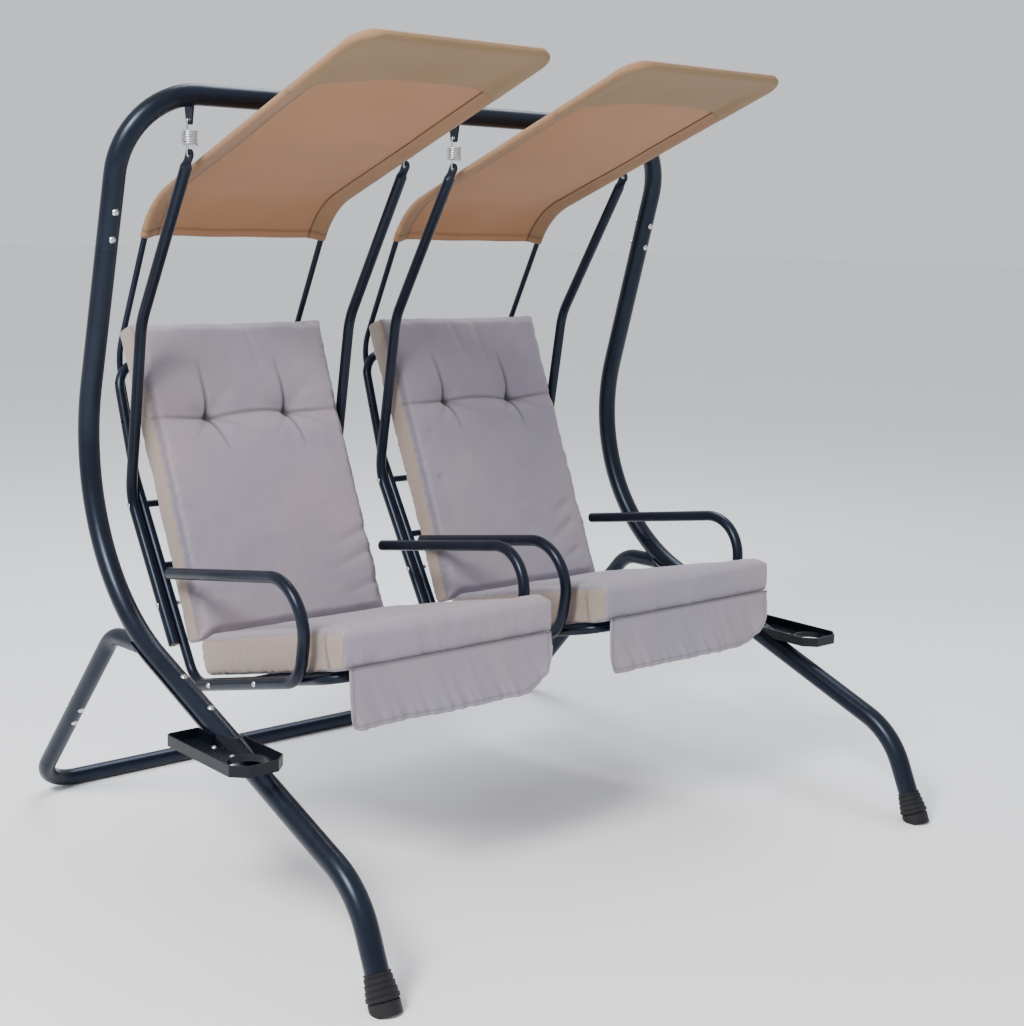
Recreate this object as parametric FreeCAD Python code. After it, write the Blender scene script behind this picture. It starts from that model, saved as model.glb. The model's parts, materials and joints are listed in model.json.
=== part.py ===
"""Double glider swing: a bent-tube stand carrying two chairs that hang side by side on springs.

Millimetres. +Z is up, the chairs face -Y, and +X is to the right of somebody who looks at their fronts.
The origin lies on the ground, under the middle of the whole object.
"""
import FreeCAD
import Part
import math
import os

V = FreeCAD.Vector
os.makedirs("parts", exist_ok=True)

# ---------------------------------------------------------------- driving dimensions
# stand
POST_X = 764.0            # centre of a post, from the middle plane
POST_R = 22.5             # post and top bar tube
POST_WALL = 1.5
BAR_Y, BAR_Z = 214.0, 1588.0
UPPER_SLOPE = 0.275       # a post's upper run: Y gained for each mm down
BELLY_Y, BELLY_Z = 486.0, 598.5    # where the two long runs of a post would meet
KNEE_Y, KNEE_Z = -600.0, 192.0     # where the long run meets the foot run
FOOT_Y, FOOT_Z = -677.0, 22.0      # end of the post tube
BELLY_BEND = 440.0
KNEE_BEND = 180.0
TOP_BEND = 170.0
SLEEVE_Z = 1272.0         # seam between the top bar and a post
SPIGOT = 110.0            # reduced end of a post inside the top bar
FIT_GAP = 0.3             # play of one tube inside another
CAP_R = 31.0              # rubber foot
CAP_HEIGHT = 62.0
CAP_RIBS = 5

# rear legs and floor bar
LEG_R = 19.0
LEG_WALL = 1.5
REAR_Y, REAR_Z = 696.8, 19.0
ARCH_Y, ARCH_Z = 299.0, 465.0
ARCH_BEND = 90.0
ARCH_END_Y, ARCH_END_Z = 203.0, 467.0
CORNER_BEND = 98.0
LEG_JOINT = 0.40          # place of the leg joint, as a share of the way from arch to floor
LEG_SPIGOT = 90.0
SADDLE_WALL = 4.0
SADDLE_LENGTH = 250.0

# trays
TRAY_IN, TRAY_OUT = 748.0, 864.0
TRAY_FRONT, TRAY_REAR = -362.0, -104.0
TRAY_TOP = 368.0
TRAY_DEPTH = 22.0
TRAY_WALL = 3.0
TRAY_CORNER = 26.0
NOTCH_X = 793.0           # behind the post the tray is cut back to here
NOTCH_FRONT = -160.0
POST_GAP = 3.0            # room between a post and the tray's inner wall
TRAY_SCREWS = [(802.0, -180.0), (802.0, -246.0)]
CUP_X, CUP_Y, CUP_R = 809.0, -312.0, 38.0
CUP_COLLAR = 13.0

# chairs
CHAIR_X = 344.0           # middle of a chair, from the middle plane
HANGER_X = 275.0          # hanger, from the chair's middle
HANGER_R = 12.5
HANGER_WALL = 1.2
FRAME_X = 251.0           # side tube of the seat and back frames
FRAME_R = 11.0
FRAME_WALL = 1.2
CROSS_R = 8.0             # cross tubes of the seat and back frames
ARM_TOP_X = 291.0         # upper run of an armrest, from the chair's middle
CANOPY_X = 232.0
CANOPY_R = 7.0
CANOPY_WALL = 1.0
COVER_HALF = 243.0
COVER_THICK = 3.0
COVER_CORNER = 58.0       # rounding of the front corners of the roof
EYE_Y, EYE_Z = 214.0, 1466.0       # hole in the top of a hanger
HOLE_Z = 1537.0           # hole in a spring bracket: the swing axis
HOLE_R = 4.5
WIRE_R = 2.0
COIL_R = 15.0
LOOP_R = 5.5              # bend of a spring hook
COIL_TURNS = 6
COIL_PITCH = 4.6
COIL_Z = (HOLE_Z + EYE_Z) / 2.0    # middle of the coil
CUSHION_HALF = 257.0
ROLL_HALF = 268.0
FLAP_HALF = 260.0
SIDE = {"left": -1.0, "right": 1.0}


# ---------------------------------------------------------------- paths and tubes
def unit(vector):
    out = V(vector)
    out.normalize()
    return out


def bent_wire(points, bends):
    """A wire of straight runs joined by tangent arcs. bends has one radius per inner point."""
    edges = []
    start = V(points[0])
    for i, radius in enumerate(bends):
        corner = V(points[i + 1])
        back = unit(V(points[i]) - corner)
        ahead = unit(V(points[i + 2]) - corner)
        half = back.getAngle(ahead) / 2.0
        reach = radius / math.tan(half)
        first = corner + back * reach
        last = corner + ahead * reach
        inward = unit(back + ahead)
        middle = corner + inward * (radius / math.sin(half) - radius)
        edges.append(Part.LineSegment(start, first).toShape())
        edges.append(Part.Arc(first, middle, last).toShape())
        start = last
    edges.append(Part.LineSegment(start, V(points[-1])).toShape())
    return Part.Wire(edges)


def rod(wire, radius):
    """A solid round bar along a wire."""
    edge = wire.Edges[0]
    origin = edge.valueAt(edge.FirstParameter)
    tangent = edge.tangentAt(edge.FirstParameter)
    ring = Part.Wire([Part.makeCircle(radius, origin, tangent)])
    return wire.makePipeShell([ring], True, True)


def tube(points, bends, radius, wall):
    """A bent round tube, open at both ends."""
    wire = bent_wire(points, bends)
    return rod(wire, radius).cut(rod(wire, radius - wall))


def straight_rod(start, end, radius):
    run = V(end) - V(start)
    return Part.makeCylinder(radius, run.Length, V(start), run)


def mirrored(shape):
    return shape.mirror(V(0, 0, 0), V(1, 0, 0))


def write(name, shapes):
    """One STEP per node; a list becomes a group of separate solids."""
    solids = []
    for shape in shapes if isinstance(shapes, list) else [shapes]:
        solids.extend(shape.Solids)
    out = solids[0] if len(solids) == 1 else Part.makeCompound(solids)
    out.exportStep("parts/%s.step" % name)
    print(name, len(solids), "solids,", round(out.Volume / 1000.0, 1), "cm3, valid", out.isValid())


# ---------------------------------------------------------------- fasteners
def domed_bolt(head, direction, grip, radius, head_radius):
    """Head seat at head, shank along direction, and a thread that shows past the nut."""
    axis = unit(direction)
    height = head_radius * 0.62
    length = grip + 8.0
    ball_radius = (head_radius ** 2 + height ** 2) / (2.0 * height)
    tilt = math.asin(head_radius / ball_radius) / 2.0
    middle = V(ball_radius * math.sin(tilt), 0, height - ball_radius * (1.0 - math.cos(tilt)))
    edges = [Part.LineSegment(V(0, 0, height), V(0, 0, -length)).toShape(),
             Part.LineSegment(V(0, 0, -length), V(radius, 0, -length)).toShape(),
             Part.LineSegment(V(radius, 0, -length), V(radius, 0, 0)).toShape(),
             Part.LineSegment(V(radius, 0, 0), V(head_radius, 0, 0)).toShape(),
             Part.Arc(V(head_radius, 0, 0), middle, V(0, 0, height)).toShape()]
    body = Part.Face(Part.Wire(edges)).revolve(V(0, 0, 0), V(0, 0, 1), 360.0)
    body.Placement = FreeCAD.Placement(head, FreeCAD.Rotation(V(0, 0, 1), axis * -1.0))
    return body


def hex_nut(seat, direction, radius, across):
    """A nut whose inner face lies at seat; it has running play on the shank."""
    axis = unit(direction)
    flat = V(1, 0, 0) if abs(axis.x) < 0.9 else V(0, 1, 0)
    side = unit(axis.cross(flat))
    other = axis.cross(side)
    corners = []
    for i in range(7):
        turn = math.radians(60.0 * i)
        corners.append(seat + side * (across * math.cos(turn)) + other * (across * math.sin(turn)))
    body = Part.Face(Part.makePolygon(corners)).extrude(axis * (radius * 1.6))
    return body.cut(Part.makeCylinder(radius + 0.05, 40.0, seat - axis * 5.0, axis))


def drill(shape, head, direction, depth, radius):
    axis = unit(direction)
    return shape.cut(Part.makeCylinder(radius, depth, head - axis * 10.0, axis))


# ---------------------------------------------------------------- the stand's lines
def upper_line(z, x=POST_X):
    """Centre of a post's upper run at height z."""
    return V(x, BAR_Y + UPPER_SLOPE * (BAR_Z - z), z)


UPPER_DOWN = unit(V(0, UPPER_SLOPE, -1.0))
LONG_DOWN = unit(V(0, KNEE_Y - BELLY_Y, KNEE_Z - BELLY_Z))
LONG_UP_SIDE = unit(V(0, LONG_DOWN.z, -LONG_DOWN.y))
BELLY = V(POST_X, BELLY_Y, BELLY_Z)
KNEE = V(POST_X, KNEE_Y, KNEE_Z)


def long_line(distance):
    """Centre of a post's long run, by its distance down from the belly corner."""
    return BELLY + LONG_DOWN * distance


LEG_BOLT_PLACES = [long_line(511.0), long_line(622.0)]
TOP_BOLT_PLACES = [upper_line(1353.0), upper_line(1298.0)]
LEG_DOWN = unit(V(0, REAR_Y - ARCH_Y, REAR_Z - ARCH_Z))
LEG_FRONT_SIDE = unit(V(0, LEG_DOWN.z, -LEG_DOWN.y))
LEG_TOP = V(POST_X, ARCH_Y, ARCH_Z)
LEG_LENGTH = math.hypot(REAR_Y - ARCH_Y, REAR_Z - ARCH_Z)
LEG_SEAM = LEG_TOP + LEG_DOWN * (LEG_LENGTH * LEG_JOINT)
FLOOR_BOLT_PLACES = [LEG_SEAM + LEG_DOWN * 22.0, LEG_SEAM + LEG_DOWN * 72.0]
TOP_BOLT_WAY = unit(V(0, -UPPER_DOWN.z, UPPER_DOWN.y))


# ---------------------------------------------------------------- stand
def top_bar_run():
    """Centreline of the top bar, from one sleeve to the other."""
    left_end = upper_line(SLEEVE_Z, -POST_X)
    right_end = upper_line(SLEEVE_Z, POST_X)
    points = [left_end, V(-POST_X, BAR_Y, BAR_Z), V(POST_X, BAR_Y, BAR_Z), right_end]
    return bent_wire(points, [TOP_BEND, TOP_BEND])


def top_bar():
    bar = rod(top_bar_run(), POST_R).cut(rod(top_bar_run(), POST_R - POST_WALL))
    for place in TOP_BOLT_PLACES:
        for side in (-1.0, 1.0):
            head = V(place.x * side, place.y, place.z) - TOP_BOLT_WAY * POST_R
            bar = drill(bar, head, TOP_BOLT_WAY, 80.0, 4.3)
    return bar


def post():
    """The right-hand post: long bent tube with a reduced upper end."""
    points = [upper_line(SLEEVE_Z - 0.4), BELLY, KNEE, V(POST_X, FOOT_Y, FOOT_Z)]
    body = tube(points, [BELLY_BEND, KNEE_BEND], POST_R, POST_WALL)
    spigot_radius = POST_R - POST_WALL - FIT_GAP
    low = upper_line(SLEEVE_Z - 40.0)
    high = upper_line(SLEEVE_Z) - UPPER_DOWN * SPIGOT
    spigot = straight_rod(low, high, spigot_radius)
    shoulder = straight_rod(low, upper_line(SLEEVE_Z - 0.4), POST_R - POST_WALL + 0.2)
    body = body.fuse(shoulder).fuse(spigot)
    body = body.cut(straight_rod(low + UPPER_DOWN * 5.0, high - UPPER_DOWN * 5.0, spigot_radius - POST_WALL))
    for place in TOP_BOLT_PLACES:
        body = drill(body, place - TOP_BOLT_WAY * POST_R, TOP_BOLT_WAY, 80.0, 4.3)
    for place in LEG_BOLT_PLACES:
        body = drill(body, place + LONG_UP_SIDE * POST_R, LONG_UP_SIDE * -1.0, 80.0, 4.3)
    return body


def foot_cap():
    """Ribbed rubber foot with a flat sole, on the end of the right-hand post."""
    end = V(POST_X, FOOT_Y, FOOT_Z)
    axis = unit(KNEE - end)
    outline = [V(0, 0, -30.0)]
    outline.append(V(CAP_R - 2.0, 0, -30.0))
    pitch = (CAP_HEIGHT - 8.0) / CAP_RIBS
    for i in range(CAP_RIBS):
        low = -14.0 + pitch * i
        swell = CAP_R - 1.6 * abs(i - 1)
        outline.append(V(swell, 0, low + 1.5))
        outline.append(V(swell, 0, low + pitch - 3.0))
        outline.append(V(swell - 2.4, 0, low + pitch - 1.5))
    outline.append(V(POST_R + 3.0, 0, CAP_HEIGHT - 18.0))
    outline.append(V(0, 0, CAP_HEIGHT - 18.0))
    outline.append(outline[0])
    profile = Part.Face(Part.makePolygon(outline))
    body = profile.revolve(V(0, 0, 0), V(0, 0, 1), 360.0)
    body.Placement = FreeCAD.Placement(end, FreeCAD.Rotation(V(0, 0, 1), axis))
    body = body.cut(straight_rod(end - axis * 0.5, end + axis * 80.0, POST_R + 0.05))
    ground = Part.makeBox(400.0, 400.0, 200.0, end + V(-200.0, -200.0, -200.0 - FOOT_Z))
    return body.cut(ground)


def rear_leg():
    """The right-hand rear leg: arch, reduced lower end, and a curved saddle under the post."""
    top = V(POST_X, ARCH_END_Y - 30.0, ARCH_END_Z + 1.0)
    seam = LEG_SEAM - LEG_DOWN * 0.4
    leg = tube([top, LEG_TOP, seam], [ARCH_BEND], LEG_R, LEG_WALL)
    spigot_radius = LEG_R - LEG_WALL - FIT_GAP
    high = LEG_SEAM - LEG_DOWN * 40.0
    low = LEG_SEAM + LEG_DOWN * LEG_SPIGOT
    leg = leg.fuse(straight_rod(high, seam, LEG_R - LEG_WALL + 0.2))
    leg = leg.fuse(straight_rod(high, low, spigot_radius))
    leg = leg.cut(straight_rod(high - LEG_DOWN * 5.0, low + LEG_DOWN * 5.0, spigot_radius - LEG_WALL))
    for place in FLOOR_BOLT_PLACES:
        leg = drill(leg, place + LEG_FRONT_SIDE * LEG_R, LEG_FRONT_SIDE * -1.0, 80.0, 4.3)
    run = bent_wire([upper_line(SLEEVE_Z), BELLY, KNEE], [BELLY_BEND])
    clear = rod(run, POST_R + FIT_GAP)
    leg = leg.cut(clear)
    shell = rod(run, POST_R + FIT_GAP + SADDLE_WALL).cut(clear)
    saddle = shell.common(saddle_zone())
    for place in LEG_BOLT_PLACES:
        saddle = drill(saddle, place, LONG_UP_SIDE * -1.0, 80.0, 4.3)
    inside = rod(bent_wire([top, LEG_TOP, seam], [ARCH_BEND]), LEG_R - LEG_WALL)
    return leg.fuse(saddle.cut(inside)).removeSplitter()


def saddle_zone():
    """The underside of the long run, where the saddle lies."""
    length = SADDLE_LENGTH + 80.0
    start = long_line(330.0)
    box = Part.makeBox(80.0, length, 60.0, V(-40.0, 0, 0))
    turn = FreeCAD.Rotation(V(0, 1, 0), LONG_DOWN)
    box.Placement = FreeCAD.Placement(start - LONG_UP_SIDE * 6.0, turn)
    return box


def rear_floor_bar():
    left = V(-POST_X, LEG_SEAM.y, LEG_SEAM.z)
    points = [left, V(-POST_X, REAR_Y, REAR_Z), V(POST_X, REAR_Y, REAR_Z), LEG_SEAM]
    bar = tube(points, [CORNER_BEND, CORNER_BEND], LEG_R, LEG_WALL)
    for place in FLOOR_BOLT_PLACES:
        for side in (-1.0, 1.0):
            head = V(place.x * side, place.y, place.z) + LEG_FRONT_SIDE * LEG_R
            bar = drill(bar, head, LEG_FRONT_SIDE * -1.0, 80.0, 4.3)
    return bar


def spring_bracket(x):
    """A plate under the top bar with the hole that a spring hooks into."""
    thick = 4.0
    top = BAR_Z - 12.0
    outline = [V(x - thick / 2, BAR_Y - 19.0, top), V(x - thick / 2, BAR_Y + 19.0, top),
               V(x - thick / 2, BAR_Y + 10.0, HOLE_Z - 10.0), V(x - thick / 2, BAR_Y - 10.0, HOLE_Z - 10.0)]
    plate = Part.Face(Part.makePolygon(outline + [outline[0]])).extrude(V(thick, 0, 0))
    plate = plate.cut(rod(top_bar_run(), POST_R + 0.02))
    return plate.cut(straight_rod(V(x - 9, BAR_Y, HOLE_Z), V(x + 9, BAR_Y, HOLE_Z), HOLE_R))


def stand_fasteners():
    """Bolts and nuts of the three kinds of stand joint, on both sides."""
    bolts = {"top_joint": [], "rear_leg": [], "floor_joint": []}
    nuts = {"top_joint": [], "rear_leg": [], "floor_joint": []}
    rows = [("top_joint", TOP_BOLT_PLACES, TOP_BOLT_WAY, POST_R, POST_R),
            ("rear_leg", LEG_BOLT_PLACES, LONG_UP_SIDE * -1.0, POST_R, POST_R + FIT_GAP + SADDLE_WALL),
            ("floor_joint", FLOOR_BOLT_PLACES, LEG_FRONT_SIDE * -1.0, LEG_R, LEG_R)]
    for name, places, way, near, far in rows:
        for place in places:
            head = place - way * (near + 0.1)
            seat = place + way * (far + 0.1)
            for flip in (False, True):
                bolt = domed_bolt(head, way, near + far + 0.2, 4.0, 7.5)
                nut = hex_nut(seat, way, 4.0, 7.2)
                bolts[name].append(mirrored(bolt) if flip else bolt)
                nuts[name].append(mirrored(nut) if flip else nut)
    return bolts, nuts


# ---------------------------------------------------------------- trays
def tray_outline(inset):
    """Plan of the right-hand tray, moved inwards by inset."""
    left, right = TRAY_IN + inset, TRAY_OUT - inset
    front, rear = TRAY_FRONT + inset, TRAY_REAR - inset
    cut = TRAY_CORNER - inset * 0.6
    small = 8.0 - inset * 0.6
    return [(left, rear), (left, front + cut), (left + cut, front), (right - cut, front),
            (right, front + cut), (right, rear - small), (right - small, rear)]


def post_run():
    """Centreline of the right-hand post."""
    points = [upper_line(SLEEVE_Z), BELLY, KNEE, V(POST_X, FOOT_Y, FOOT_Z)]
    return bent_wire(points, [BELLY_BEND, KNEE_BEND])


def post_room(gap):
    """The space that a tray leaves for the post and, behind it, for the saddle."""
    behind = Part.makeBox(NOTCH_X + gap - 700.0, 400.0, 200.0, V(700.0, NOTCH_FRONT - gap, 250.0))
    return rod(post_run(), POST_R + POST_GAP + gap).fuse(behind)


def plan_solid(outline, low, high):
    points = [V(x, y, low) for x, y in outline]
    return Part.Face(Part.makePolygon(points + [points[0]])).extrude(V(0, 0, high - low))


def tray():
    floor = TRAY_TOP - TRAY_DEPTH
    body = plan_solid(tray_outline(0.0), floor, TRAY_TOP).cut(post_room(0.0))
    hollow = plan_solid(tray_outline(TRAY_WALL), floor + TRAY_WALL, TRAY_TOP + 1.0)
    body = body.cut(hollow.cut(post_room(TRAY_WALL)))
    collar = Part.makeCylinder(CUP_R + 3.0, CUP_COLLAR, V(CUP_X, CUP_Y, floor))
    body = body.fuse(collar)
    body = body.cut(Part.makeCylinder(CUP_R, 80.0, V(CUP_X, CUP_Y, floor - 20.0)))
    for x, y in TRAY_SCREWS:
        body = body.cut(Part.makeCylinder(2.7, 30.0, V(x, y, floor - 10.0)))
    return body.removeSplitter()


def tray_bracket():
    """A plate under the tray, welded to the post's outer side."""
    top = TRAY_TOP - TRAY_DEPTH - 0.2
    plate = Part.makeBox(40.0, 104.0, 3.0, V(TRAY_SCREWS[0][0] - 25.0, -266.0, top - 3.0))
    plate = plate.cut(rod(post_run(), POST_R))
    for x, y in TRAY_SCREWS:
        plate = plate.cut(Part.makeCylinder(2.7, 30.0, V(x, y, top - 15.0)))
    return plate


def tray_screws(side):
    floor = TRAY_TOP - TRAY_DEPTH + TRAY_WALL
    out = []
    for x, y in TRAY_SCREWS:
        head = V(x * side, y, floor + 0.1)
        out.append(domed_bolt(head, V(0, 0, -1), 8.0, 2.5, 5.5))
    return out


# ---------------------------------------------------------------- chair lines, all as (Y, Z)
HANGER_LINE = [(EYE_Y + 15.0, EYE_Z - 22.0), (429.0, 1112.0), (488.0, 724.0), (300.0, 421.8)]
HANGER_BENDS = [160.0, 110.0]
SEAT_FRONT = (-285.0, 473.5)
SEAT_CORNER = (250.0, 339.5)
BACK_KNEE = (512.0, 760.6)
BACK_TOP = (597.0, 1010.0)
BACK_SEAM = (318.0, 448.8)
ARM_LINE = [(297.0, 581.0), (-252.0, 671.0), (-196.0, 450.0), (186.0, 354.5)]
ARM_BENDS = [94.0, 80.0]
CANOPY_FRONT = (-322.0, 1676.0)
CANOPY_SHOULDER = (452.0, 1371.0)
CANOPY_KNEE = (623.0, 1022.0)
CANOPY_END = (566.0, 856.0)
CUSHION_LEAN = (0.3897, 0.9209)   # direction of the back cushion's face, from bottom to top


def at(x, pair):
    return V(x, pair[0], pair[1])


def hanger(x):
    """Bent tube with a flattened, pierced upper end."""
    body = tube([at(x, p) for p in HANGER_LINE], HANGER_BENDS, HANGER_R, HANGER_WALL)
    top = at(x, HANGER_LINE[0])
    way = unit(top - at(x, HANGER_LINE[1]))
    side = unit(V(1, 0, 0).cross(way))
    ring = Part.Wire([Part.makeCircle(HANGER_R, top, way)])
    squeezed = flat_ring(top + way * 17.0, side, 3.0, 13.0)
    neck = Part.makeLoft([ring, squeezed], True, True)
    tongue = Part.Face(squeezed).extrude(way * 10.0)
    eye_end = Part.makeCylinder(12.0, 6.0, top + way * 27.0 - V(3.0, 0, 0), V(1, 0, 0))
    body = body.fuse([neck, tongue, eye_end]).removeSplitter()
    return body.cut(straight_rod(V(x - 9, EYE_Y, EYE_Z), V(x + 9, EYE_Y, EYE_Z), HOLE_R))


def flat_ring(centre, side, half_thick, half_wide):
    """A slot-shaped outline: thin along X, wide along side."""
    flat = half_wide - half_thick
    out = V(half_thick, 0, 0)
    near, far = centre - side * flat, centre + side * flat
    edges = [Part.LineSegment(near + out, far + out).toShape(),
             Part.Arc(far + out, far + side * half_thick, far - out).toShape(),
             Part.LineSegment(far - out, near - out).toShape(),
             Part.Arc(near - out, near - side * half_thick, near + out).toShape()]
    return Part.Wire(edges)


def seat_frame(x):
    """U-shaped seat tube whose rear ends turn up to meet the back frame, with two cross tubes."""
    corners = [at(x - FRAME_X, BACK_SEAM), at(x - FRAME_X, SEAT_CORNER), at(x - FRAME_X, SEAT_FRONT),
               at(x + FRAME_X, SEAT_FRONT), at(x + FRAME_X, SEAT_CORNER), at(x + FRAME_X, BACK_SEAM)]
    wire = bent_wire(corners, [60.0, 60.0, 60.0, 60.0])
    outer, inner = rod(wire, FRAME_R), rod(wire, FRAME_R - FRAME_WALL)
    run = unit(at(0, SEAT_CORNER) - at(0, SEAT_FRONT))
    for distance in (170.0, 345.0):
        middle = at(0, SEAT_FRONT) + run * distance
        ends = [V(x - FRAME_X, middle.y, middle.z), V(x + FRAME_X, middle.y, middle.z)]
        outer = outer.fuse(straight_rod(ends[0], ends[1], CROSS_R))
        inner = inner.fuse(straight_rod(ends[0], ends[1], CROSS_R - FRAME_WALL))
    return outer.cut(inner).removeSplitter()


def back_frame(x):
    """Inverted U behind the back cushion, with reduced lower ends and two cross tubes."""
    corners = [at(x - FRAME_X, BACK_SEAM), at(x - FRAME_X, BACK_KNEE), at(x - FRAME_X, BACK_TOP),
               at(x + FRAME_X, BACK_TOP), at(x + FRAME_X, BACK_KNEE), at(x + FRAME_X, BACK_SEAM)]
    up = unit(at(0, BACK_KNEE) - at(0, BACK_SEAM))
    for i in (0, 5):
        corners[i] = corners[i] + up * 0.4
    wire = bent_wire(corners, [120.0, 60.0, 60.0, 120.0])
    outer, inner = rod(wire, FRAME_R), rod(wire, FRAME_R - FRAME_WALL)
    for distance in (150.0, 300.0):
        middle = at(0, BACK_SEAM) + up * distance
        ends = [V(x - FRAME_X, middle.y, middle.z), V(x + FRAME_X, middle.y, middle.z)]
        outer = outer.fuse(straight_rod(ends[0], ends[1], CROSS_R))
        inner = inner.fuse(straight_rod(ends[0], ends[1], CROSS_R - FRAME_WALL))
    frame = outer.cut(inner)
    for side_x in (x - FRAME_X, x + FRAME_X):
        seam = at(side_x, BACK_SEAM)
        spigot_radius = FRAME_R - FRAME_WALL - FIT_GAP
        plug = straight_rod(seam - up * 38.0, seam + up * 20.0, spigot_radius)
        collar = straight_rod(seam + up * 0.6, seam + up * 20.0, FRAME_R - FRAME_WALL + 0.1)
        hollow = straight_rod(seam - up * 45.0, seam + up * 25.0, spigot_radius - FRAME_WALL)
        frame = frame.fuse(plug.fuse(collar).cut(hollow))
    return frame.removeSplitter()


def arm(x, outward):
    """C-shaped armrest: a lower run along the seat tube and an upper run that stands a little outwards."""
    foot_x = x + outward * HANGER_X
    top_x = x + outward * ARM_TOP_X
    lean = (top_x - foot_x) / (ARM_LINE[1][1] - ARM_LINE[2][1])
    points = [at(foot_x + lean * (p[1] - ARM_LINE[2][1]), p) for p in ARM_LINE[:2]]
    points += [at(foot_x, p) for p in ARM_LINE[2:]]
    return tube(points, ARM_BENDS, HANGER_R, HANGER_WALL), points


def end_plug(end, inner_point, radius, wall):
    """Plastic plug: a domed head over the tube's end and a stem inside it."""
    way = unit(V(end) - V(inner_point))
    head = Part.makeCylinder(radius, 2.5, end + way * 0.1, way)
    crown = Part.makeSphere(radius * 1.9, end + way * (5.5 - radius * 1.9))
    crown = crown.common(Part.makeCylinder(radius, 4.0, end + way * 0.1, way))
    stem = Part.makeCylinder(radius - wall - 0.1, 16.0, end - way * 14.0, way)
    return head.common(crown).fuse(stem).removeSplitter()


def canopy_frame(x):
    corners = [at(x - CANOPY_X, CANOPY_END), at(x - CANOPY_X, CANOPY_KNEE), at(x - CANOPY_X, CANOPY_SHOULDER),
               at(x - CANOPY_X, CANOPY_FRONT), at(x + CANOPY_X, CANOPY_FRONT),
               at(x + CANOPY_X, CANOPY_SHOULDER),
               at(x + CANOPY_X, CANOPY_KNEE), at(x + CANOPY_X, CANOPY_END)]
    return tube(corners, [110.0, 200.0, 55.0, 55.0, 200.0, 110.0], CANOPY_R, CANOPY_WALL)


def plan_block(front, roof, up, edge_x, side):
    """A block that holds one front corner of a roof cover."""
    inner_x = edge_x - side * COVER_CORNER
    outer_x = edge_x + side * 5.0
    points = [V(inner_x, 0, 0) + front - roof * 5.0, V(outer_x, 0, 0) + front - roof * 5.0,
              V(outer_x, 0, 0) + front + roof * COVER_CORNER, V(inner_x, 0, 0) + front + roof * COVER_CORNER]
    points = [p - up * 20.0 for p in points]
    return Part.Face(Part.makePolygon(points + [points[0]])).extrude(up * 40.0)


def canopy_cover(x):
    """The cloth roof as one thin closed sheet that lies on its frame."""
    down = unit(at(0, CANOPY_KNEE) - at(0, CANOPY_SHOULDER))
    roof = unit(at(0, CANOPY_SHOULDER) - at(0, CANOPY_FRONT))
    lift = CANOPY_R + 0.4 + COVER_THICK / 2.0
    up = V(0, -roof.z, roof.y)
    out = V(0, -down.z, down.y)
    hem = at(0, CANOPY_SHOULDER) + down * 82.0 + out * lift
    front = at(0, CANOPY_FRONT) - roof * 12.0 + up * lift
    bend = up + out
    shoulder = at(0, CANOPY_SHOULDER) + bend * (lift / (1.0 + up.dot(out)))
    wire = bent_wire([front, shoulder, hem], [200.0 + lift])
    corner = [front - up * (COVER_THICK / 2) + V(x - COVER_HALF, 0, 0),
              front - up * (COVER_THICK / 2) + V(x + COVER_HALF, 0, 0),
              front + up * (COVER_THICK / 2) + V(x + COVER_HALF, 0, 0),
              front + up * (COVER_THICK / 2) + V(x - COVER_HALF, 0, 0)]
    section = Part.makePolygon(corner + [corner[0]])
    cover = wire.makePipeShell([section], True, True)
    for side in (-1.0, 1.0):
        edge_x = x + side * COVER_HALF
        centre = V(edge_x - side * COVER_CORNER, 0, 0) + front + roof * COVER_CORNER
        block = plan_block(front, roof, up, edge_x, side)
        cover = cover.cut(block.cut(Part.makeCylinder(COVER_CORNER, 60.0, centre - up * 30.0, up)))
    return cover


def arc(start, middle, end):
    return Part.Arc(start, middle, end).toShape()


def line(start, end):
    return Part.LineSegment(start, end).toShape()


def hook_path(loop_centre, base):
    """Upper hook, from the end of the coil to the tip of the hook; the coil's axis is the Z axis."""
    lead = 3.0
    wide = (COIL_R + LOOP_R) / 2.0
    diagonal = lead * (1.0 - math.sqrt(0.5))
    edges = [line(V(COIL_R, 0, base), V(COIL_R, lead, base)),
             arc(V(COIL_R, lead, base), V(COIL_R - wide, lead + wide, base), V(-LOOP_R, lead, base)),
             arc(V(-LOOP_R, lead, base), V(-LOOP_R, diagonal, base + diagonal), V(-LOOP_R, 0, base + lead)),
             line(V(-LOOP_R, 0, base + lead), V(-LOOP_R, 0, loop_centre)),
             arc(V(-LOOP_R, 0, loop_centre), V(0, 0, loop_centre + LOOP_R), V(LOOP_R, 0, loop_centre)),
             line(V(LOOP_R, 0, loop_centre), V(LOOP_R, 0, loop_centre - 2.0))]
    return edges


def spring(x):
    """Extension spring from one wire: a coil between two hooks."""
    half = COIL_PITCH * COIL_TURNS / 2.0
    reach = HOLE_R - WIRE_R - 0.2 - LOOP_R
    upper = hook_path(HOLE_Z + reach - COIL_Z, half)
    lower = hook_path(COIL_Z - EYE_Z + reach, half)
    for edge in lower:
        edge.rotate(V(0, 0, 0), V(1, 0, 0), 180.0)
    coil = []
    for i in range(COIL_TURNS * 4):
        spots = []
        for part in (0.0, 0.5, 1.0):
            turns = (i + part) / 4.0
            angle = math.radians(360.0 * turns)
            spots.append(V(COIL_R * math.cos(angle), COIL_R * math.sin(angle), COIL_PITCH * turns - half))
        coil.append(arc(spots[0], spots[1], spots[2]))
    path = Part.Wire(Part.__sortEdges__(lower + coil + upper))
    body = rod(path, WIRE_R)
    body.translate(V(x, EYE_Y, COIL_Z))
    return body


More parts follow.
